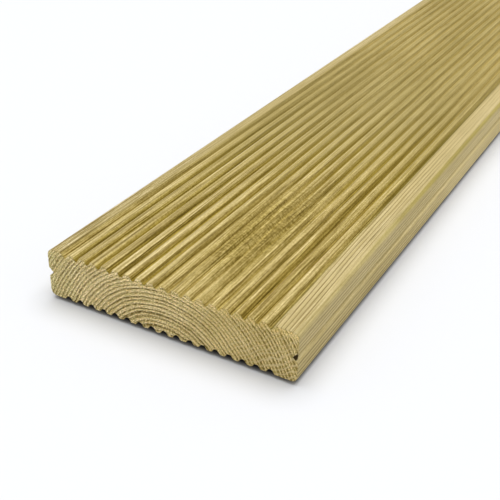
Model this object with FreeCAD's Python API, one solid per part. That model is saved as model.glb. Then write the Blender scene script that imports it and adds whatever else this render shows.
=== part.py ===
import FreeCAD, Part
import math
import os

# Grooved decking board, one planed length of treated softwood lying flat on its ribbed face.
# Millimetres. X runs across the board, Y along it, Z up from the rib tips on the underside.
# The origin is under the middle of the board; the sawn end at -Y is the one that faces the viewer.

# Blank
BOARD_LENGTH = 2400.0
BOARD_WIDTH = 145.0
BOARD_THICKNESS = 28.0
TOP_ARRIS_RADIUS = 3.6
BOTTOM_ARRIS_RADIUS = 3.4

# Walking face: ridges between open grooves, with a plain land along each edge
TOP_PITCH = 7.0
TOP_GROOVE_WIDTH = 4.0
TOP_GROOVE_FLOOR = 1.0
TOP_GROOVE_DEPTH = 2.2
TOP_RIDGE_RADIUS = 0.7
TOP_FLOOR_RADIUS = 0.5
TOP_LEFT_LAND = 9.2
TOP_RIGHT_LAND = 12.6

# Underside: rounded ribs between arched grooves, with a plain land along each edge
BOTTOM_PITCH = 7.45
BOTTOM_GROOVE_WIDTH = 4.6
BOTTOM_GROOVE_FLOOR = 2.0
BOTTOM_GROOVE_DEPTH = 2.2
BOTTOM_RIB_RADIUS = 1.1
BOTTOM_FLOOR_RADIUS = 1.3
BOTTOM_LEFT_LAND = 9.3
BOTTOM_RIGHT_LAND = 11.7

# V groove along each side edge
SIDE_GROOVE_HEIGHT = 14.2
SIDE_GROOVE_OPENING = 5.4
SIDE_GROOVE_DEPTH = 2.8
SIDE_LIP_RADIUS = 0.6
SIDE_ROOT_RADIUS = 0.4


def groove_centres(left_land, right_land, groove_width, pitch):
    """Centre lines of as many grooves as fit between the two edge lands, from the left."""
    first = -BOARD_WIDTH / 2 + left_land + groove_width / 2
    last = BOARD_WIDTH / 2 - right_land - groove_width / 2
    count = int((last - first) / pitch) + 1
    return [first + index * pitch for index in range(count)]


def groove_corners(centre, surface, inward, width, floor, depth, lip_radius, floor_radius):
    """Corners of one groove from left to right, each with the radius that rounds it."""
    bottom = surface + inward * depth
    return [
        (centre - width / 2, surface, lip_radius),
        (centre - floor / 2, bottom, floor_radius),
        (centre + floor / 2, bottom, floor_radius),
        (centre + width / 2, surface, lip_radius),
    ]


def side_corners(edge, inward):
    """Corners of one side V groove from the bottom up."""
    half = SIDE_GROOVE_OPENING / 2
    return [
        (edge, SIDE_GROOVE_HEIGHT - half, SIDE_LIP_RADIUS),
        (edge + inward * SIDE_GROOVE_DEPTH, SIDE_GROOVE_HEIGHT, SIDE_ROOT_RADIUS),
        (edge, SIDE_GROOVE_HEIGHT + half, SIDE_LIP_RADIUS),
    ]


def section_corners():
    """Every corner of the cross-section, anticlockwise seen from -Y, with its rounding radius."""
    half = BOARD_WIDTH / 2
    underside = []
    for centre in groove_centres(BOTTOM_LEFT_LAND, BOTTOM_RIGHT_LAND, BOTTOM_GROOVE_WIDTH, BOTTOM_PITCH):
        underside += groove_corners(
            centre, 0.0, 1, BOTTOM_GROOVE_WIDTH, BOTTOM_GROOVE_FLOOR, BOTTOM_GROOVE_DEPTH,
            BOTTOM_RIB_RADIUS, BOTTOM_FLOOR_RADIUS)
    top = []
    for centre in groove_centres(TOP_LEFT_LAND, TOP_RIGHT_LAND, TOP_GROOVE_WIDTH, TOP_PITCH):
        top += groove_corners(
            centre, BOARD_THICKNESS, -1, TOP_GROOVE_WIDTH, TOP_GROOVE_FLOOR, TOP_GROOVE_DEPTH,
            TOP_RIDGE_RADIUS, TOP_FLOOR_RADIUS)
    corners = [(-half, 0.0, BOTTOM_ARRIS_RADIUS)]
    corners += underside
    corners += [(half, 0.0, BOTTOM_ARRIS_RADIUS)]
    corners += side_corners(half, -1)
    corners += [(half, BOARD_THICKNESS, TOP_ARRIS_RADIUS)]
    corners += reversed(top)
    corners += [(-half, BOARD_THICKNESS, TOP_ARRIS_RADIUS)]
    corners += reversed(side_corners(-half, 1))
    return corners


def rounding(before, corner, after, radius):
    """Start, middle and end of the arc of the given radius that rounds a corner."""
    toward_before = (before - corner).normalize()
    toward_after = (after - corner).normalize()
    half_angle = toward_before.getAngle(toward_after) / 2
    bisector = (toward_before + toward_after).normalize()
    reach = radius / math.tan(half_angle)
    middle = corner + bisector * (radius / math.sin(half_angle) - radius)
    return corner + toward_before * reach, middle, corner + toward_after * reach


def section_wire():
    """The rounded outline of the cross-section at the front end of the board."""
    corners = section_corners()
    points = [FreeCAD.Vector(x, -BOARD_LENGTH / 2, z) for x, z, radius in corners]
    count = len(points)
    arcs = []
    for index in range(count):
        before = points[index - 1]
        after = points[(index + 1) % count]
        arcs.append(rounding(before, points[index], after, corners[index][2]))
    edges = []
    for index in range(count):
        start, middle, end = arcs[index]
        next_start = arcs[(index + 1) % count][0]
        edges.append(Part.Arc(start, middle, end).toShape())
        edges.append(Part.makeLine(end, next_start))
    return Part.Wire(edges)


board = Part.Face(section_wire()).extrude(FreeCAD.Vector(0, BOARD_LENGTH, 0))

os.makedirs("parts", exist_ok=True)
board.exportStep("parts/deck_board.step")
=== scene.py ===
import math

import bpy
import numpy as np
from mathutils import Matrix, Vector


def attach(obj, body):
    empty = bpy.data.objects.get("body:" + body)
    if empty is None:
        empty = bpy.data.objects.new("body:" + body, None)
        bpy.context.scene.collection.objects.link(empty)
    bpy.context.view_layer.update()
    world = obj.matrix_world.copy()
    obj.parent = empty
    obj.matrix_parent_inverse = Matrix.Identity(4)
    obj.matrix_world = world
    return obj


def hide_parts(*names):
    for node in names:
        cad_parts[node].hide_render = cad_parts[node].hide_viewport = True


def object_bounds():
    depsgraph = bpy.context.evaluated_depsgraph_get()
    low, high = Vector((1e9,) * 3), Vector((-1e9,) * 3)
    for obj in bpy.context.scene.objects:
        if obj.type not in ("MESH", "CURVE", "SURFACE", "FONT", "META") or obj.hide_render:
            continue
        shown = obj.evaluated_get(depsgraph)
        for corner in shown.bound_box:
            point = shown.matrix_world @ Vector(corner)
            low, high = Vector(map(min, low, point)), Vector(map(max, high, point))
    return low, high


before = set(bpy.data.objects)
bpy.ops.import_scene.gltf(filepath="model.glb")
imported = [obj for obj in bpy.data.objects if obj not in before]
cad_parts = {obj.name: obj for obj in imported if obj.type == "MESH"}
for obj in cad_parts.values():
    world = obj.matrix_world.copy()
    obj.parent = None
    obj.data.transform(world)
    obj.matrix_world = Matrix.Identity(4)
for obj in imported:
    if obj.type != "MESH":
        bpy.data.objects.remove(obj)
cad_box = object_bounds()

# Places and sizes of the board are in millimetres: X across it, Y along it, Z up from its rib tips.
# In the materials Y counts from the front end.
MM_PER_METRE = 1000

# Outer size of the board, from the frame
BOARD_WIDTH, BOARD_LENGTH, BOARD_THICKNESS = (
    round((high - low) * MM_PER_METRE, 3) for low, high in zip(*cad_box))

# Section of the board, the same values as in the part's source
TOP_ARRIS_RADIUS = 3.6
BOTTOM_ARRIS_RADIUS = 3.4
TOP = {
    "pitch": 7.0, "width": 4.0, "floor": 1.0, "depth": 2.2,
    "lip": 0.7, "root": 0.5, "left": 9.2, "right": 12.6,
}
BOTTOM = {
    "pitch": 7.45, "width": 4.6, "floor": 2.0, "depth": 2.2,
    "lip": 1.1, "root": 1.3, "left": 9.3, "right": 11.7,
}
SIDE_GROOVE_HEIGHT = 14.2
SIDE_GROOVE_OPENING = 5.4
SIDE_GROOVE_DEPTH = 2.8
SIDE_LIP_RADIUS = 0.6
SIDE_ROOT_RADIUS = 0.4

# How finely the section is divided: along straight runs, and in steps round a corner, twice as many if wide
RUN_STEP = 0.9
CORNER_STEPS = 3
WIDE_RADIUS = 2.0

# Where the section is repeated, from the front end: start, stop and step of each stretch, and close to an end
STRETCHES = (
    (6.0, 180.0, 6.0),
    (180.0, 600.0, 14.0),
    (600.0, BOARD_LENGTH / 2 - 20.0, 40.0),
    (BOARD_LENGTH / 2, BOARD_LENGTH - 20.0, 60.0),
)
END_STEPS = (0.3, 0.9)

# How far the cutters wandered across and in depth, and over what length
GROOVE_WANDER = 0.16
GROOVE_WANDER_LENGTH = 70.0
DEPTH_WANDER = 0.12
DEPTH_WANDER_LENGTH = 90.0

# How much the edges of the ends are eased and torn
END_EASE = 0.22
END_TEAR = 0.12

SEED = 731

# The tree: the pith lies under the board and sways, and the rings close up outwards and taper along it
PITH_X = -1.0
PITH_Z = -24.5
PITH_SWAY_X = 8.0
PITH_SWAY_Z = 5.0
RINGS_PER_MM = 0.333
RINGS_CLOSING = 0.00139
TAPER = 0.0025
RAYS_PER_RADIAN = 25.0

# Where marks fade, as in the photo, and where they come back beyond its view, by a slanted distance
FOCUS_SLANT = 0.6
FADE_OUT = (40.0, 380.0)
FADE_BACK = (600.0, 1000.0)

# How fast the painted shadow in the notch at the front of the right side groove runs out along it
NOTCH_SLANT = 0.45

# The patch of torn grain on the top: its middle, and its reach across and along
TORN_X = 12.0
TORN_Y = 78.0
TORN_REACH_X = 17.0
TORN_REACH_Y = 66.0

# Parts of the long faces: how far from the grooves their edges lie, and how soft those are
LAND_EDGE = (0.1, 0.9)
GROOVED_MARGIN = 0.4
SIDE_GROOVE_MARGIN = 0.7
PART_SOFTNESS = 0.3

# Bands along the top, from edge to edge, and how soft the edges are
STAIN_X = (40.9, 45.2)
STAIN_SOFTNESS = 0.7
LAST_FLANK_X = (57.2, 60.2)
ARRIS_X = (70.3, 72.1)
BAND_SOFTNESS = 0.4

# Where the long faces change, each pair from the beginning to the end of the change: across the board (X),
# along it (Y), up it (Z), in from a side (IN), below the top (DOWN), and by the slanted distance (AWAY)
TOP_FACE_Z = (22.0, 23.0)
LEFT_SIDE_X = (-71.0, -71.8)
NEAR_AWAY = (10.0, 150.0)
CRISP_AWAY = (60.0, 200.0)
WORN_LEFT_X = (-18.0, 2.0)
WORN_RIGHT_X = (20.0, 38.0)
WORN_Y = (100.0, 170.0)
WORN_PALE_X = (25.0, 40.0)
LAND_LINES_LEFT_X = (-71.6, -70.6)
LAND_LINES_RIGHT_X = (68.6, 69.4)
LAND_LINES_Z = (26.0, 27.2)
SIDE_LINES_Z = (23.0, 25.5)
SIDE_LINES_IN = (0.1, 0.6)
RIGHT_EDGE_X = (59.0, 61.0)
CREST_X = (-20.0, 45.0)
CREST_BACK_Y = (50.0, 170.0)
FIRST_GROOVE_X = (-58.6, -57.6)
DISTANT_X = (30.0, 50.0)
FLANK_DOWN = (0.2, 0.9)
GROOVE_BOTTOM_DOWN = (1.1, 1.9)
DISTANT_GROOVE_START_Y = (300.0, 420.0)
DISTANT_GROOVE_END_Y = (600.0, 900.0)
DISTANT_GROOVE_DOWN = (0.4, 1.6)
STAIN_Y = (120.0, 300.0)
LEFT_LAND_X = (-62.5, -65.0)
LEFT_LAND_Z = (20.0, 25.0)
ARRIS_Z = (22.5, 24.5)
ARRIS_START_Y = (10.0, 180.0)
ARRIS_END_Y = (500.0, 900.0)
SIDE_IN = (1.5, 0.3)
SIDE_Z = (24.5, 22.0)
SIDE_Y = (0.0, 200.0)
SIDE_FLANK_IN = (0.2, 0.8)
SIDE_ROOT_IN = (2.0, 2.6)
RIGHT_HALF_X = (0.0, 1.0)
NOTCH_IN = (0.1, 0.5)
NOTCH_Z = (12.2, 12.9)
UNDERSIDE_IN = (3.0, 4.5)
LOWER_EDGE_Z = (0.4, 2.2)
GAP_START_Z = (0.15, 0.7)
GAP_END_Z = (2.6, 3.0)

# Where the sawn ends change in the same way, and the check, from edge to edge in radians from upright
END_RIGHT_X = (-10.0, 50.0)
END_CORNER_X = (25.0, 55.0)
END_CORNER_Z = (8.0, 20.0)
END_FAR_LEFT_X = (-69.0, -56.0)
END_GREEN_X = (-50.0, -68.0)
RIM_Z = (23.0, 26.0)
CHECK_ANGLE = (0.476, 0.488)
CHECK_SOFTNESS = 0.004

# Colours of the long faces
EARLY_WOOD = (0.54, 0.435, 0.206, 1)
LATE_WOOD = (0.32, 0.235, 0.078, 1)
STREAK_WOOD = (0.42, 0.345, 0.12, 1)
# Painted highlight along the ridge lips and backs
CREST_HIGHLIGHT = (0.68, 0.565, 0.31, 1)

# Tints of the long faces, which multiply red, green and blue
LINE_TINT = (0.60, 0.54, 0.32)
DUCT_TINT = (0.55, 0.48, 0.28)
SCORE_TINT = (0.52, 0.46, 0.24)
LAND_LINE_TINT = (0.41, 0.37, 0.22)
SIDE_LINE_TINT = (0.30, 0.28, 0.17)
RIGHT_LAND_TINT = (0.95, 0.95, 0.965)
RIGHT_EDGE_TINT = (1.05, 1.05, 1.04)
LEFT_LAND_TINT = (0.94, 0.94, 0.94)
GROOVED_TINT = (1.03, 1.01, 0.84)
DISTANT_TINT = (0.72, 0.72, 0.665)
# Flanks and bottoms of the top grooves: treatment colour and painted shade
FLANK_SHADE_TINT = (0.84, 0.81, 0.53)
GROOVE_BOTTOM_SHADE_TINT = (0.69, 0.665, 0.41)
WORN_TINT = (0.96, 0.95, 0.92)
# Painted light in the distant groove bottoms
DISTANT_GROOVE_LIGHT_TINT = (1.17, 1.16, 1.12)
STAIN_TINT = (0.70, 0.66, 0.38)
LAST_FLANK_TINT = (0.76, 0.79, 0.82)
TORN_TINT = (0.84, 0.82, 0.64)
ARRIS_TINT = (0.74, 0.74, 0.48)
SIDE_TINT = (1.14, 1.15, 1.19)
# Painted light on the side groove flanks, against their shade
SIDE_GROOVE_LIGHT_TINT = (1.24, 1.28, 1.36)
# Painted shade in the side groove roots
SIDE_ROOT_SHADE_TINT = (0.32, 0.28, 0.20)
# Painted shadow in the notch at the front of the right side groove
NOTCH_SHADOW_TINT = (0.08, 0.06, 0.03)
# Painted shade on the lower arrises and rib tips
LOWER_EDGE_SHADE_TINT = (0.50, 0.48, 0.45)
# Underside grooves: treatment colour and painted shade
UNDERSIDE_GROOVE_SHADE_TINT = (0.56, 0.53, 0.38)

# Colours and tints of the sawn ends
END_EARLY_WOOD = (0.81, 0.65, 0.31, 1)
END_MIDDLE_WOOD = (0.59, 0.445, 0.075, 1)
END_LATE_WOOD = (0.105, 0.063, 0.002, 1)
RAY_WOOD = (0.76, 0.62, 0.34, 1)
CHECK_WOOD = (0.66, 0.55, 0.30, 1)
RED_SPOT_TINT = (1.02, 0.97, 0.90)
GREEN_SPOT_TINT = (0.97, 0.99, 0.92)
LEFT_END_TINT = (0.84, 0.94, 0.90)
RIGHT_END_TINT = (0.85, 0.83, 0.75)
RIM_TINT = (1.18, 1.17, 1.16)

# Surface: how much everything shines, and the depth of the fine relief in metres
SHINE = 0.1
LONG_RELIEF = 0.0004
END_RELIEF = 0.0005

# Camera read from the photograph's edges, in metres from the middle of the front end's lower edge
CAMERA_PLACE = Vector((0.2072, -0.3005, 0.2671))
CAMERA_YAW = math.radians(-28.24)
CAMERA_PITCH = math.radians(30.80)
CAMERA_ROLL = math.radians(1.62)
CAMERA_RANGE = (0.01, 50.0)
FOCAL_PIXELS = 903.4
IMAGE_PIXELS = 500
SENSOR_WIDTH = 36.0

# Stage: a floor in metres, just below the ribs and with a painted shadow under the board, and even light from
# above
FLOOR_HALF = 30.0
FLOOR_HEIGHT = -0.0020
FLOOR_COLOUR = (0.728, 0.740, 0.765, 1)
FLOOR_ROUGHNESS = 0.9
# Painted shadow on the floor under the board
CONTACT_SHADOW_TINT = (0.14, 0.14, 0.15)
CONTACT_EDGE = 2.2
SKY_STRENGTH = 0.54
KEY_DIRECTION = (0.0, -0.3, -2.2)
KEY_SPREAD = math.radians(57)
KEY_STRENGTH = 2.6


def groove_centres(face):
    """Middles of one face's grooves from left to right."""
    first = -BOARD_WIDTH / 2 + face["left"] + face["width"] / 2
    last = BOARD_WIDTH / 2 - face["right"] - face["width"] / 2
    count = int((last - first) / face["pitch"]) + 1
    return [first + index * face["pitch"] for index in range(count)]


def groove_corners(face, surface, inward):
    """Corners of one face's grooves from left to right, each with its rounding radius."""
    bottom = surface + inward * face["depth"]
    corners = []
    for centre in groove_centres(face):
        corners += [
            (centre - face["width"] / 2, surface, face["lip"]),
            (centre - face["floor"] / 2, bottom, face["root"]),
            (centre + face["floor"] / 2, bottom, face["root"]),
            (centre + face["width"] / 2, surface, face["lip"]),
        ]
    return corners


def side_corners(edge, inward):
    """Corners of one side groove from the bottom up."""
    half = SIDE_GROOVE_OPENING / 2
    return [
        (edge, SIDE_GROOVE_HEIGHT - half, SIDE_LIP_RADIUS),
        (edge + inward * SIDE_GROOVE_DEPTH, SIDE_GROOVE_HEIGHT, SIDE_ROOT_RADIUS),
        (edge, SIDE_GROOVE_HEIGHT + half, SIDE_LIP_RADIUS),
    ]


def section_corners():
    """Corners of the section with their radii, anticlockwise seen from -Y, from the lower left one."""
    half = BOARD_WIDTH / 2
    corners = [(-half, 0.0, BOTTOM_ARRIS_RADIUS)]
    corners += groove_corners(BOTTOM, 0.0, 1)
    corners += [(half, 0.0, BOTTOM_ARRIS_RADIUS)]
    corners += side_corners(half, -1)
    corners += [(half, BOARD_THICKNESS, TOP_ARRIS_RADIUS)]
    corners += groove_corners(TOP, BOARD_THICKNESS, -1)[::-1]
    corners += [(-half, BOARD_THICKNESS, TOP_ARRIS_RADIUS)]
    corners += side_corners(-half, 1)[::-1]
    return corners


def unit(vector):
    """Vector of length 1 in the same direction."""
    return vector / np.hypot(*vector)


def rounding(before, corner, after, radius):
    """Points on the arc that rounds a corner between its two neighbours."""
    toward_before = unit(before - corner)
    toward_after = unit(after - corner)
    half_angle = math.acos(float(toward_before @ toward_after)) / 2
    centre = corner + unit(toward_before + toward_after) * radius / math.sin(half_angle)
    start = corner + toward_before * radius / math.tan(half_angle)
    end = corner + toward_after * radius / math.tan(half_angle)
    steps = CORNER_STEPS * (2 if radius > WIDE_RADIUS else 1)
    chord = [start + (end - start) * step / steps for step in range(steps + 1)]
    return [centre + unit(point - centre) * radius for point in chord]


def divided(start, end):
    """Points between two ends of a straight run, the ends left out."""
    count = max(1, math.ceil(np.hypot(*(end - start)) / RUN_STEP))
    return [start + (end - start) * step / count for step in range(1, count)]


def section_outline():
    """Points round the section, in the order of its corners."""
    corners = section_corners()
    places = np.array([(x, z) for x, z, radius in corners])
    radii = [radius for x, z, radius in corners]
    befores = np.roll(places, 1, axis=0)
    afters = np.roll(places, -1, axis=0)
    points = []
    for before, corner, after, radius in zip(befores, places, afters, radii):
        arc = rounding(before, corner, after, radius)
        if points:
            points += divided(points[-1], arc[0])
        points += arc
    points += divided(points[-1], points[0])
    return np.array(points)


def outline_normals(points):
    """Unit vectors out of the outline at its points."""
    along = np.roll(points, -1, axis=0) - np.roll(points, 1, axis=0)
    along /= np.hypot(along[:, 0], along[:, 1])[:, None]
    return np.stack([along[:, 1], -along[:, 0]], 1)


def stations():
    """Places along the board, closest together at the front end."""
    places = [0.0, *END_STEPS]
    for start, stop, step in STRETCHES:
        places += list(np.arange(start, stop, step))
    places += [BOARD_LENGTH - step for step in reversed(END_STEPS)]
    places.append(BOARD_LENGTH)
    return np.array(places) - BOARD_LENGTH / 2


def wander(rng, places, length):
    """A smooth random row between -1 and 1 over the places, with a new random value after each length."""
    along = (places - places[0]) / length
    base = along.astype(int)
    part = along - base
    part = part * part * (3 - 2 * part)
    values = rng.uniform(-1, 1, base.max() + 2)
    return values[base] * (1 - part) + values[base + 1] * part


def board_rows(rng, outline, places):
    """The outline at each place along the board, with wandering grooves and eased, slightly torn ends."""
    rows = np.repeat(outline[None], len(places), axis=0)
    upper = outline[:, 1] > BOARD_THICKNESS / 2
    for face, surface, side in ((TOP, BOARD_THICKNESS, upper), (BOTTOM, 0.0, ~upper)):
        for centre in groove_centres(face):
            near = side & (np.abs(outline[:, 0] - centre) < face["pitch"] / 2)
            share = np.abs(outline[near, 1] - surface) / face["depth"]
            sideways = GROOVE_WANDER * wander(rng, places, GROOVE_WANDER_LENGTH)
            upward = DEPTH_WANDER * wander(rng, places, DEPTH_WANDER_LENGTH)
            rows[:, near, 0] += sideways[:, None]
            rows[:, near, 1] += upward[:, None] * share
    normals = outline_normals(outline)
    for end in (0, -1):
        torn = END_EASE + END_TEAR * rng.uniform(-1, 1, len(outline))
        rows[end] -= normals * torn[:, None]
    return rows


def sweep_faces(stations_count, points_count):
    """Faces between neighbouring stations, and the two ends, as rows of vertex numbers."""
    long_faces = []
    for station in range(stations_count - 1):
        low = station * points_count
        high = low + points_count
        for here in range(points_count):
            there = (here + 1) % points_count
            long_faces.append((low + here, high + here, high + there, low + there))
    last = (stations_count - 1) * points_count
    front = tuple(range(points_count))
    back = tuple(range(last + points_count - 1, last - 1, -1))
    return long_faces, [front, back]


def board_mesh():
    """The swept board: lengthwise faces with material 0, the two ends with material 1."""
    rng = np.random.RandomState(SEED)
    outline = section_outline()
    places = stations()
    rows = board_rows(rng, outline, places)
    vertices = np.empty((len(places), len(outline), 3))
    vertices[:, :, 0] = rows[:, :, 0]
    vertices[:, :, 1] = places[:, None]
    vertices[:, :, 2] = rows[:, :, 1]
    long_faces, ends = sweep_faces(len(places), len(outline))
    mesh = bpy.data.meshes.new("deck_board_wood")
    mesh.from_pydata((vertices.reshape(-1, 3) / MM_PER_METRE).tolist(), [], long_faces + ends)
    sawn = np.arange(len(long_faces) + len(ends)) >= len(long_faces)
    mesh.polygons.foreach_set("use_smooth", ~sawn)
    mesh.polygons.foreach_set("material_index", sawn.astype(np.int32))
    unwrap(mesh, outline, places)
    mesh.update()
    return mesh


def unwrap(mesh, outline, places):
    """Bake map: the two halves of the length side by side, with the two ends in a band below them."""
    column = 0.48
    second_column = 0.5
    margin = 0.01
    scale = column / BOARD_WIDTH
    floor = BOARD_THICKNESS * scale + 3 * margin
    tall = 1 - margin - floor
    half = BOARD_LENGTH / 2
    run = np.hypot(*(np.roll(outline, -1, axis=0) - outline).T)
    round_share = np.concatenate([[0], np.cumsum(run)]) / run.sum()
    corners = []
    for low, high in zip(places[:-1], places[1:]):
        left, start = (margin + second_column, 0.0) if low >= 0 else (margin, -half)
        bottom = np.full(len(outline), floor + tall * (low - start) / half)
        top = np.full(len(outline), floor + tall * (high - start) / half)
        here = left + column * round_share[:-1]
        there = left + column * round_share[1:]
        quads = np.array([[here, bottom], [here, top], [there, top], [there, bottom]])
        corners.append(quads.transpose(2, 0, 1).reshape(-1, 2))
    end = (outline + (BOARD_WIDTH / 2, 0.0)) * scale + margin
    corners.append(end)
    corners.append(end[::-1] * (-1, 1) + (1.0, 0.0))
    layer = mesh.uv_layers.new(name="OFBake")
    layer.uv.foreach_set("vector", np.concatenate(corners).astype(np.float32).ravel())


class Graph:
    """Adds shader nodes to one material and links them, over places on the board in millimetres."""

    def __init__(self, name):
        self.material = bpy.data.materials.new(name)
        self.material.use_nodes = True
        self.tree = self.material.node_tree
        self.tree.nodes.clear()
        coordinates = self.add("ShaderNodeTexCoord", {})
        scaled = self.vector("MULTIPLY", coordinates.outputs["Object"], (MM_PER_METRE,) * 3)
        self.place = self.vector("ADD", scaled, (0, BOARD_LENGTH / 2, 0))
        self.x, self.y, self.z = self.add("ShaderNodeSeparateXYZ", {0: self.place}).outputs

    def add(self, kind, inputs, **settings):
        """A new node, with each input linked if it is a socket and set if it is a value."""
        node = self.tree.nodes.new(kind)
        for key, value in settings.items():
            setattr(node, key, value)
        for key, value in inputs.items():
            if isinstance(value, bpy.types.NodeSocket):
                self.tree.links.new(value, node.inputs[key])
            else:
                node.inputs[key].default_value = value
        return node

    def math(self, operation, *values):
        return self.add("ShaderNodeMath", dict(enumerate(values)), operation=operation).outputs[0]

    def vector(self, operation, *values):
        return self.add("ShaderNodeVectorMath", dict(enumerate(values)), operation=operation).outputs[0]

    def times(self, *values):
        """Product of all the values."""
        product = values[0]
        for value in values[1:]:
            product = self.math("MULTIPLY", product, value)
        return product

    def plus(self, *values):
        """Sum of all the values."""
        total = values[0]
        for value in values[1:]:
            total = self.math("ADD", total, value)
        return total

    def minus(self, first, second):
        return self.math("SUBTRACT", first, second)

    def length(self, first, second):
        """Length of a line with the two parts at right angles."""
        return self.math("SQRT", self.plus(self.times(first, first), self.times(second, second)))

    def noise(self, place, scale, detail=2.0, roughness=0.5):
        """Noise around 0.5 over a place, with its own scale along each axis."""
        stretched = self.vector("MULTIPLY", place, scale)
        inputs = {"Vector": stretched, "Scale": 1.0, "Detail": detail, "Roughness": roughness}
        return self.add("ShaderNodeTexNoise", inputs).outputs["Fac"]

    def grain(self, across, along, detail=2.0, roughness=0.5):
        """Noise over the board with one scale across it and in depth, and another along it."""
        return self.noise(self.place, (across, along, across), detail, roughness)

    def dice(self, value):
        """A random number from 0 to 1 for each whole part of the value."""
        whole = self.math("FLOOR", value)
        return self.add("ShaderNodeTexWhiteNoise", {"W": whole}, noise_dimensions="1D").outputs[0]

    def swing(self, noise, amount):
        """Noise turned into a swing of plus or minus about half the amount."""
        return self.times(self.minus(noise, 0.5), amount)

    def step(self, value, low, high, start=0.0, end=1.0):
        """A smooth step from start to end while the value goes from low to high."""
        inputs = {0: value, 1: low, 2: high, 3: start, 4: end}
        return self.add("ShaderNodeMapRange", inputs, interpolation_type="SMOOTHSTEP").outputs[0]

    def down(self, mask, least):
        """1 where the mask is 0, down to the least where it is 1."""
        return self.step(mask, 0.0, 1.0, 1.0, least)

    def band(self, value, low, high, soft):
        """1 between low and high, and 0 outside, over a soft edge."""
        rise = self.step(value, low - soft, low + soft)
        fall = self.step(value, high - soft, high + soft, 1.0, 0.0)
        return self.times(rise, fall)

    def thin(self, noise, width):
        """Thin lines where the noise passes its middle value."""
        return self.step(self.math("ABSOLUTE", self.minus(noise, 0.5)), 0.0, width, 1.0, 0.0)

    def mix(self, share, first, second):
        """Colour between the first and the second, as far as the share says."""
        node = self.add("ShaderNodeMix", {0: share, 6: first, 7: second}, data_type="RGBA")
        return node.outputs[2]

    def multiply(self, share, first, second):
        """First colour multiplied by the second, as far as the share says."""
        inputs = {0: share, 6: first, 7: second}
        return self.add("ShaderNodeMix", inputs, data_type="RGBA", blend_type="MULTIPLY").outputs[2]

    def tint(self, share, colour, factor):
        """Colour multiplied by a factor for each channel, as far as the share says."""
        return self.multiply(share, colour, (*factor, 1))

    def shade(self, colour, amount):
        """Colour made darker or lighter as wood is, with green and blue following faster than red."""
        green = self.math("POWER", amount, 1.12)
        blue = self.math("POWER", amount, 1.8)
        level = self.add("ShaderNodeCombineColor", {0: amount, 1: green, 2: blue}).outputs[0]
        return self.multiply(1.0, colour, level)

    def vary(self, colour, change):
        """Colour shaded by a change up or down from 0."""
        return self.shade(colour, self.plus(1.0, change))

    def bump(self, height, depth):
        """The normal of a relief with the given depth in metres."""
        return self.add("ShaderNodeBump", {"Height": height, "Strength": 1.0, "Distance": depth}).outputs[0]

    def finish(self, colour, roughness, **sockets):
        """Ends the tree in a plain uncoated surface."""
        inputs = {"Base Color": colour, "Roughness": roughness, "Specular IOR Level": SHINE, **sockets}
        surface = self.add("ShaderNodeBsdfPrincipled", inputs)
        self.add("ShaderNodeOutputMaterial", {"Surface": surface.outputs[0]})
        return self.material


def from_pith(g):
    """How far a place lies across and above the pith."""
    sway_x = g.swing(g.grain(0.0, 0.0024, 1.0), PITH_SWAY_X)
    sway_z = g.swing(g.grain(0.0, 0.0031, 1.0), PITH_SWAY_Z)
    across = g.minus(g.minus(g.x, PITH_X), sway_x)
    above = g.minus(g.minus(g.z, PITH_Z), sway_z)
    return across, above


def ring_noise(g, grown, offset, scale):
    """Noise that depends on the distance from the pith alone, at the given offset to tell two apart."""
    spot = g.add("ShaderNodeCombineXYZ", {0: grown, 1: offset, 2: 0.0}).outputs[0]
    return g.noise(spot, (scale, 1.0, 0.0), 1.0)


def growth(g, fray, uneven=0.0):
    """The place within a growth ring from 0 to 1, and a random number for each ring."""
    lumps = g.swing(g.grain(0.045, 0.0035), 2.6)
    frays = g.swing(g.grain(0.9, 0.012), fray)
    grown = g.plus(g.length(*from_pith(g)), lumps, frays)
    seasons = g.swing(ring_noise(g, grown, 0.0, 0.13), 0.6)
    if uneven:
        seasons = g.plus(seasons, g.swing(ring_noise(g, grown, 7.0, 0.36), uneven))
    closing = g.times(grown, grown, RINGS_CLOSING)
    years = g.plus(g.times(grown, RINGS_PER_MM), closing, g.times(g.y, TAPER), seasons)
    return g.math("FRACT", years), g.dice(years)


def latewood(g, share, ring, start, full, weakest=0.7):
    """Up to 1 in the dark late growth of a ring, 0 in the pale early growth, stronger in some rings."""
    strength = g.step(ring, 0.0, 1.0, weakest, 1.0)
    return g.times(g.step(share, start, full), g.step(share, 0.88, 0.98, 1.0, 0.0), strength)


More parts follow.
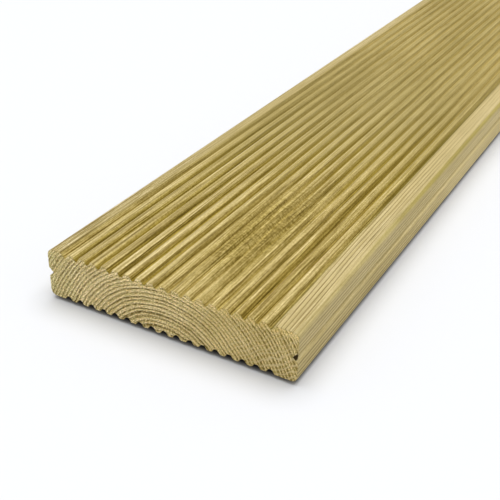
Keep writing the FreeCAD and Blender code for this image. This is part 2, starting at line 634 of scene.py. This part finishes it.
class LongFaces(Graph):
    """The lengthwise faces: where their parts lie, how strongly marks show, and the grain along them."""

    def __init__(self):
        super().__init__("treated_pine_long_grain")
        self.find_parts()
        self.find_strengths()
        self.find_grain()

    def find_parts(self):
        """Where the plain lands and sides, the grooved top and the side grooves lie."""
        centres = groove_centres(TOP)
        first_lip = centres[0] - TOP["width"] / 2
        last_lip = centres[-1] + TOP["width"] / 2
        begin, complete = LAND_EDGE
        left_land = self.step(self.x, first_lip - begin, first_lip - complete, 0.0, 0.7)
        grooves = self.band(self.x, first_lip - GROOVED_MARGIN, last_lip + GROOVED_MARGIN, PART_SOFTNESS)
        reach = SIDE_GROOVE_OPENING / 2 + SIDE_GROOVE_MARGIN
        self.right_land = self.step(self.x, last_lip + begin, last_lip + complete)
        self.lands = self.plus(self.right_land, left_land)
        self.smooth = self.plus(self.right_land, self.step(self.x, *LEFT_SIDE_X))
        self.top = self.step(self.z, *TOP_FACE_Z)
        self.grooved = self.times(grooves, self.top)
        self.channel = self.band(
            self.z, SIDE_GROOVE_HEIGHT - reach, SIDE_GROOVE_HEIGHT + reach, PART_SOFTNESS)
        self.sunk = self.minus(BOARD_THICKNESS, self.z)
        self.inward = self.minus(BOARD_WIDTH / 2, self.math("ABSOLUTE", self.x))

    def find_strengths(self):
        """How strongly marks show: less in the distance, on smooth faces and on worn ridges."""
        self.away = self.minus(self.y, self.times(self.x, FOCUS_SLANT))
        self.fade = self.plus(self.step(self.away, *FADE_OUT, 1.0, 0.0), self.step(self.away, *FADE_BACK))
        self.coarse = self.down(self.smooth, 0.3)
        self.bold = self.step(self.fade, 0.42, 1.0, 0.26, 1.0)
        self.strong = self.times(self.bold, self.coarse)
        self.worn = self.times(
            self.step(self.x, *WORN_LEFT_X), self.step(self.x, *WORN_RIGHT_X, 1.0, 0.6),
            self.step(self.y, *WORN_Y, 1.0, 0.0))
        self.near = self.times(self.step(self.away, *NEAR_AWAY, 1.5, 1.0), self.down(self.worn, 0.62))

    def find_grain(self):
        """Rings, fibres and pores drawn out along the board, and the patch of torn grain."""
        self.share, ring = growth(self, self.step(self.smooth, 0.0, 1.0, 0.7, 0.2))
        self.late = latewood(self, self.share, ring, 0.55, 0.86)
        self.fibres = self.grain(1.2, 0.006, 2.0, 0.7)
        self.fuzz = self.grain(1.4, 0.045, 2.0, 0.7)
        self.lines = self.thin(self.grain(0.5, 0.0035, 1.0), 0.035)
        self.ducts = self.step(self.grain(1.5, 0.025, 1.0), 0.64, 0.70)
        self.marks = self.grain(0.38, 1.1, 2.0, 0.7)
        self.clouds = self.grain(0.03, 0.006)
        from_x = self.math("DIVIDE", self.minus(self.x, TORN_X), TORN_REACH_X)
        from_y = self.math("DIVIDE", self.minus(self.y, TORN_Y), TORN_REACH_Y)
        spread = self.plus(self.length(from_x, from_y), self.swing(self.clouds, 1.2))
        self.torn = self.times(self.grooved, self.step(spread, 0.45, 1.2, 1.0, 0.0))

    def bare_wood(self):
        """Colour of the wood with its rings, streaks, fibres and fuzz."""
        calm = self.times(self.coarse, self.step(self.fade, 0.3, 1.0, 0.5, 1.0))
        streaks = self.step(self.grain(0.24, 0.003, 3.0, 0.6), 0.42, 0.66, 0.0, 0.28)
        darkest = self.step(self.away, *CRISP_AWAY, 0.41, 0.36)
        palest = self.step(self.away, *CRISP_AWAY, 0.55, 0.58)
        crisp = self.step(self.fibres, darkest, palest, -0.30, 0.14)
        fuzzy = self.step(self.fuzz, 0.36, 0.64, -0.26, 0.19)
        spotted = self.step(self.grain(1.0, 0.8, 1.0), 0.38, 0.62, -0.15, 0.13)
        colour = self.mix(self.times(self.late, calm, 0.45), EARLY_WOOD, LATE_WOOD)
        colour = self.mix(self.times(calm, streaks), colour, STREAK_WOOD)
        colour = self.vary(colour, self.times(self.strong, self.near, crisp))
        colour = self.vary(colour, self.times(self.strong, fuzzy))
        return self.vary(colour, self.times(self.strong, spotted))

    def fine_lines(self, colour):
        """Thin dark lines, resin ducts and scores along the grain."""
        scores = self.thin(self.grain(0.9, 0.004, 2.0, 0.6), 0.02)
        colour = self.tint(self.times(self.lines, self.strong, 0.5), colour, LINE_TINT)
        colour = self.tint(self.times(self.ducts, self.strong, 0.6), colour, DUCT_TINT)
        return self.tint(self.times(scores, self.strong, self.near, 0.6), colour, SCORE_TINT)

    def land_lines(self, colour):
        """Ring lines along the two plain lands."""
        pencil = self.times(self.step(self.share, 0.62, 0.72), self.step(self.share, 0.78, 0.88, 1.0, 0.0))
        level = self.times(
            self.step(self.x, *LAND_LINES_RIGHT_X, 1.0, 0.0), self.step(self.x, *LAND_LINES_LEFT_X),
            self.step(self.z, *LAND_LINES_Z))
        return self.tint(self.times(pencil, self.lands, level, self.bold), colour, LAND_LINE_TINT)

    def side_lines(self, colour):
        """Ring lines along the sides, which stop at the side grooves."""
        bends = self.swing(self.noise(self.place, (0.02, 0.0015, 0.06), 1.0), 2.4)
        strands = self.plus(self.times(self.z, 0.52), bends)
        lines = self.band(self.math("FRACT", strands), 0.38, 0.62, 0.08)
        strength = self.step(self.dice(strands), 0.0, 1.0, 0.5, 1.0)
        inside = self.times(self.channel, self.step(self.inward, *SIDE_LINES_IN))
        upright = self.times(
            self.smooth, self.step(self.z, *SIDE_LINES_Z, 1.0, 0.0), self.down(inside, 0.0))
        return self.tint(self.times(lines, strength, upright, self.bold), colour, SIDE_LINE_TINT)

    def broad_tone(self, colour):
        """Cloudy tone over all the faces, and a tone for the plain right edge."""
        colour = self.tint(self.times(self.right_land, self.top), colour, RIGHT_LAND_TINT)
        colour = self.shade(colour, self.step(self.clouds, 0.3, 0.7, 0.92, 1.06))
        return self.tint(self.step(self.x, *RIGHT_EDGE_X), colour, RIGHT_EDGE_TINT)

    def crest_highlights(self):
        """Share of painted highlight on the ridges: along both lips, and on their backs near the front end.
        """
        lip = TOP["width"] / 2 / TOP["pitch"]
        turns = self.math("DIVIDE", self.minus(self.x, groove_centres(TOP)[0]), TOP["pitch"])
        turn = self.math("FRACT", turns)
        left_lips = self.times(self.band(turn, lip - 0.015, lip + 0.09, 0.025), 0.55)
        right_lips = self.times(self.band(turn, 1 - lip - 0.05, 1 - lip, 0.03), 0.3)
        backs = self.times(
            self.band(turn, lip + 0.1, 1 - lip - 0.07, 0.04), self.step(self.y, *CREST_BACK_Y, 0.3, 0.0))
        return self.plus(left_lips, right_lips, backs)

    def paint_groove_treatment_and_light(self, colour):
        """Top grooves: treatment colour and painted shade on the flanks and in the bottoms, and painted
        highlights along the ridge lips.
        """
        treatment_and_painted_light = self.times(
            self.grooved, self.down(self.torn, 0.7), self.down(self.worn, 0.38),
            self.step(self.x, *FIRST_GROOVE_X, 0.5, 1.0), self.step(self.fade, 0.0, 0.70, 0.15, 1.0))
        distant = self.times(
            self.grooved, self.step(self.fade, 0.3, 1.0, 1.0, 0.0), self.step(self.x, *DISTANT_X, 1.0, 0.8))
        ragged = self.plus(self.sunk, self.swing(self.fuzz, 1.2))
        crest_highlight = self.times(
            self.crest_highlights(), treatment_and_painted_light, self.step(self.x, *CREST_X, 1.0, 0.4),
            self.step(self.fibres, 0.36, 0.58, 0.35, 1.0))
        colour = self.tint(self.grooved, colour, GROOVED_TINT)
        colour = self.tint(distant, colour, DISTANT_TINT)
        # Flanks and bottoms darkened: treatment colour and painted shade
        colour = self.tint(self.times(treatment_and_painted_light, self.step(ragged, *FLANK_DOWN)), colour, FLANK_SHADE_TINT)
        bottoms = self.times(treatment_and_painted_light, self.step(ragged, *GROOVE_BOTTOM_DOWN))
        colour = self.tint(bottoms, colour, GROOVE_BOTTOM_SHADE_TINT)
        # Painted highlights along the ridge lips and backs
        return self.mix(crest_highlight, colour, CREST_HIGHLIGHT)

    def mark_top(self, colour):
        """Worn ridges, painted light in the distant groove bottoms, a stained groove, the last flank, and the
        torn patch.
        """
        worn = self.times(self.grooved, self.worn, self.step(self.x, *WORN_PALE_X))
        pale = self.times(
            self.grooved, self.step(self.y, *DISTANT_GROOVE_START_Y),
            self.step(self.y, *DISTANT_GROOVE_END_Y, 1.0, 0.0),
            self.step(self.sunk, *DISTANT_GROOVE_DOWN))
        stain = self.times(
            self.band(self.x, *STAIN_X, STAIN_SOFTNESS), self.grooved,
            self.step(self.y, *STAIN_Y, 0.8, 0.0))
        last_flank = self.times(self.band(self.x, *LAST_FLANK_X, BAND_SOFTNESS), self.grooved)
        colour = self.tint(worn, colour, WORN_TINT)
        # Painted light in the distant groove bottoms
        colour = self.tint(pale, colour, DISTANT_GROOVE_LIGHT_TINT)
        colour = self.tint(stain, colour, STAIN_TINT)
        colour = self.tint(last_flank, colour, LAST_FLANK_TINT)
        colour = self.tint(self.torn, colour, TORN_TINT)
        return self.vary(colour, self.times(self.torn, self.step(self.marks, 0.38, 0.62, -0.40, 0.18)))

    def tone_edges(self, colour):
        """Duller left land, green along the right upper arris, and paler sides behind the front end."""
        left_land = self.times(self.step(self.x, *LEFT_LAND_X), self.step(self.z, *LEFT_LAND_Z))
        arris = self.times(
            self.band(self.x, *ARRIS_X, BAND_SOFTNESS), self.step(self.z, *ARRIS_Z),
            self.step(self.y, *ARRIS_START_Y, 0.3, 1.0), self.step(self.y, *ARRIS_END_Y, 1.0, 0.2))
        side = self.times(
            self.step(self.inward, *SIDE_IN), self.step(self.z, *SIDE_Z),
            self.step(self.y, *SIDE_Y, 0.1, 1.0))
        colour = self.tint(left_land, colour, LEFT_LAND_TINT)
        colour = self.tint(arris, colour, ARRIS_TINT)
        return self.tint(side, colour, SIDE_TINT)

    def tone_side_grooves(self, colour):
        """Side grooves: flanks lightened with painted light, roots darkened with painted shade, and a painted
        shadow in the notch at the front of the right one.
        """
        flanks = self.times(self.step(self.inward, *SIDE_FLANK_IN), self.channel)
        roots = self.times(
            self.step(self.inward, *SIDE_ROOT_IN), self.channel,
            self.step(self.x, *RIGHT_HALF_X, 1.0, 0.2))
        receding = self.minus(self.inward, self.times(self.y, NOTCH_SLANT))
        notch = self.times(
            self.step(receding, *NOTCH_IN), self.step(self.z, *NOTCH_Z),
            self.step(self.x, *RIGHT_HALF_X), self.channel)
        # Painted light on the side groove flanks, against their shade
        colour = self.tint(flanks, colour, SIDE_GROOVE_LIGHT_TINT)
        # Painted shade in the side groove roots
        colour = self.tint(roots, colour, SIDE_ROOT_SHADE_TINT)
        # Painted shadow in the notch at the front of the right side groove
        return self.tint(notch, colour, NOTCH_SHADOW_TINT)

    def shade_underside(self, colour):
        """Painted shade on the lower arrises and rib tips, and treatment colour with painted shade in the
        grooves of the underside.
        """
        inner = self.step(self.inward, *UNDERSIDE_IN)
        low = self.times(self.down(inner, 0.3), self.step(self.z, *LOWER_EDGE_Z, 0.7, 0.0))
        gaps = self.times(inner, self.step(self.z, *GAP_START_Z), self.step(self.z, *GAP_END_Z, 1.0, 0.0))
        # Painted shade on the lower arrises and rib tips
        colour = self.tint(low, colour, LOWER_EDGE_SHADE_TINT)
        # Underside grooves: treatment colour and painted shade
        return self.tint(gaps, colour, UNDERSIDE_GROOVE_SHADE_TINT)

    def relief(self):
        """Height of the fibres, fuzz, rings, lines, ducts and cutter marks."""
        return self.plus(
            self.times(self.fibres, 0.5), self.times(self.fuzz, 0.3), self.times(self.late, 0.2),
            self.times(self.lines, -0.4), self.times(self.ducts, -0.4),
            self.times(self.torn, self.marks, 0.8))


def long_grain():
    """Planed faces: rings drawn out lengthwise, fibre streaks, treatment that gathers in the grooves, painted
    shade in the top grooves, side grooves and underside, and painted highlights on the ridges.
    """
    wood = LongFaces()
    colour = wood.bare_wood()
    colour = wood.fine_lines(colour)
    colour = wood.land_lines(colour)
    colour = wood.side_lines(colour)
    colour = wood.broad_tone(colour)
    colour = wood.paint_groove_treatment_and_light(colour)
    colour = wood.mark_top(colour)
    colour = wood.tone_edges(colour)
    colour = wood.tone_side_grooves(colour)
    colour = wood.shade_underside(colour)
    roughness = wood.step(wood.fibres, 0.2, 0.8, 0.66, 0.82)
    return wood.finish(colour, roughness, Normal=wood.bump(wood.relief(), LONG_RELIEF))


class EndFaces(Graph):
    """The sawn ends: which parts differ, and the rings and spots on them."""

    def __init__(self):
        super().__init__("treated_pine_end_grain")
        self.right = self.step(self.x, *END_RIGHT_X)
        self.corner = self.times(
            self.step(self.x, *END_CORNER_X), self.step(self.z, *END_CORNER_Z, 1.0, 0.25))
        self.rim = self.times(self.step(self.z, *RIM_Z), self.step(self.right, 0.0, 1.0, 0.4, 1.0))
        self.angle = self.math("ARCTAN2", *from_pith(self))
        self.speckle = self.grain(1.1, 1.1, 0.0, 0.6)
        self.grit = self.grain(1.8, 1.8, 1.0, 0.7)
        self.blotch = self.grain(0.05, 0.05)
        self.share, ring = growth(self, 0.7, 1.1)
        self.dark = self.dark_growth(ring)

    def dark_growth(self, ring):
        """Late growth, broken into specks on the left, and weaker at the far left and along the top."""
        start = self.plus(0.49, self.times(self.right, 0.05), self.times(self.corner, -0.16))
        late = latewood(self, self.share, ring, start, self.plus(start, 0.12), 0.65)
        specks = self.step(self.speckle, 0.38, 0.52, 0.1, 1.0)
        whole = self.math("MAXIMUM", specks, self.times(self.right, 0.6))
        return self.times(
            late, whole, self.down(self.right, 0.85), self.down(self.rim, 0.6),
            self.step(self.x, *END_FAR_LEFT_X, 0.75, 1.0))

    def rings(self):
        """Colour of the rings, with the grit that the saw left."""
        halo = self.times(self.step(self.share, 0.15, 0.5), self.step(self.share, 0.9, 1.0, 1.0, 0.3))
        gritty = self.times(self.down(self.right, 0.6), self.step(self.grit, 0.40, 0.60, -0.74, 0.58))
        colour = self.mix(self.times(halo, 0.42), END_EARLY_WOOD, END_MIDDLE_WOOD)
        colour = self.mix(self.dark, colour, END_LATE_WOOD)
        return self.vary(colour, gritty)

    def rays(self, colour):
        """Pale rays that fan out from the pith, strongest in the lower right corner, and one check."""
        sways = self.swing(self.grain(0.12, 0.12), 2.2)
        fan = self.math("FRACT", self.plus(self.times(self.angle, RAYS_PER_RADIAN), sways))
        lines = self.step(self.math("ABSOLUTE", self.minus(fan, 0.5)), 0.06, 0.2, 1.0, 0.0)
        strength = self.plus(0.2, self.times(self.right, 0.1), self.times(self.corner, 0.5))
        check = self.band(self.angle, *CHECK_ANGLE, CHECK_SOFTNESS)
        colour = self.mix(self.times(lines, strength), colour, RAY_WOOD)
        return self.mix(self.times(check, 0.5), colour, CHECK_WOOD)

    def tones(self, colour):
        """Red and green spots, the greener left, the browner right, the pale rim and blotches."""
        hue = self.grain(0.5, 0.5)
        green = self.times(
            self.step(self.x, *END_GREEN_X), self.step(self.blotch, 0.4, 0.6, 0.3, 1.0), 0.6)
        colour = self.tint(self.step(hue, 0.52, 0.64), colour, RED_SPOT_TINT)
        colour = self.tint(self.step(hue, 0.48, 0.36), colour, GREEN_SPOT_TINT)
        colour = self.tint(green, colour, LEFT_END_TINT)
        colour = self.tint(self.right, colour, RIGHT_END_TINT)
        colour = self.tint(self.rim, colour, RIM_TINT)
        return self.shade(colour, self.step(self.blotch, 0.3, 0.7, 0.92, 1.08))

    def relief(self):
        """Height of the grit and specks, with the late growth sunk."""
        return self.plus(
            self.times(self.grit, 0.6), self.times(self.speckle, 0.4), self.times(self.dark, -0.5))


def end_grain():
    """Sawn ends: rings as arcs round the pith, speckled late growth, rays and saw marks."""
    wood = EndFaces()
    colour = wood.rings()
    colour = wood.rays(colour)
    colour = wood.tones(colour)
    roughness = wood.step(wood.grit, 0.2, 0.8, 0.78, 0.92)
    return wood.finish(colour, roughness, Normal=wood.bump(wood.relief(), END_RELIEF))


def pale_floor():
    """Off-white floor, with a painted shadow right under the board."""
    g = Graph("pale_floor")
    half = BOARD_WIDTH / 2 - CONTACT_EDGE
    across = g.band(g.x, -half, half, CONTACT_EDGE)
    along = g.band(g.y, CONTACT_EDGE, BOARD_LENGTH - CONTACT_EDGE, CONTACT_EDGE)
    # Painted shadow on the floor under the board
    colour = g.tint(g.times(across, along), FLOOR_COLOUR, CONTACT_SHADOW_TINT)
    return g.finish(colour, FLOOR_ROUGHNESS)


def build_board():
    mesh = board_mesh()
    mesh.materials.append(long_grain())
    mesh.materials.append(end_grain())
    board = bpy.data.objects.new("deck_board_wood", mesh)
    bpy.context.scene.collection.objects.link(board)
    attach(board, "root")
    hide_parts("deck_board")


def build_camera():
    forward = Vector((
        math.sin(CAMERA_YAW) * math.cos(CAMERA_PITCH),
        math.cos(CAMERA_YAW) * math.cos(CAMERA_PITCH),
        -math.sin(CAMERA_PITCH)))
    level = Vector((math.cos(CAMERA_YAW), -math.sin(CAMERA_YAW), 0))
    upright = level.cross(forward)
    right = level * math.cos(CAMERA_ROLL) + upright * math.sin(CAMERA_ROLL)
    up = upright * math.cos(CAMERA_ROLL) - level * math.sin(CAMERA_ROLL)
    data = bpy.data.cameras.new("camera")
    data.sensor_width = SENSOR_WIDTH
    data.lens = SENSOR_WIDTH * FOCAL_PIXELS / IMAGE_PIXELS
    data.clip_start, data.clip_end = CAMERA_RANGE
    camera = bpy.data.objects.new("camera", data)
    turn = Matrix((right, up, -forward)).transposed().to_4x4()
    front_end = Vector((0, -BOARD_LENGTH / 2 / MM_PER_METRE, 0))
    camera.matrix_world = Matrix.Translation(CAMERA_PLACE + front_end) @ turn
    bpy.context.scene.collection.objects.link(camera)
    bpy.context.scene.camera = camera


def build_floor():
    signs = ((-1, -1), (1, -1), (1, 1), (-1, 1))
    corners = [(x * FLOOR_HALF, y * FLOOR_HALF, FLOOR_HEIGHT) for x, y in signs]
    mesh = bpy.data.meshes.new("floor")
    mesh.from_pydata(corners, [], [(0, 1, 2, 3)])
    mesh.materials.append(pale_floor())
    floor = bpy.data.objects.new("floor", mesh)
    bpy.context.scene.collection.objects.link(floor)


def build_light():
    """A white sky, and even light over the whole stage from a wide disk of it."""
    world = bpy.data.worlds.new("studio")
    world.use_nodes = True
    background = world.node_tree.nodes["Background"]
    background.inputs["Color"].default_value = (1, 1, 1, 1)
    background.inputs["Strength"].default_value = SKY_STRENGTH
    bpy.context.scene.world = world
    data = bpy.data.lights.new("key", "SUN")
    data.angle = KEY_SPREAD
    data.energy = KEY_STRENGTH
    light = bpy.data.objects.new("key", data)
    light.rotation_euler = Vector(KEY_DIRECTION).to_track_quat("-Z", "Y").to_euler()
    bpy.context.scene.collection.objects.link(light)
    bpy.context.scene.view_settings.view_transform = "Standard"


build_board()
build_camera()
build_floor()
build_light()
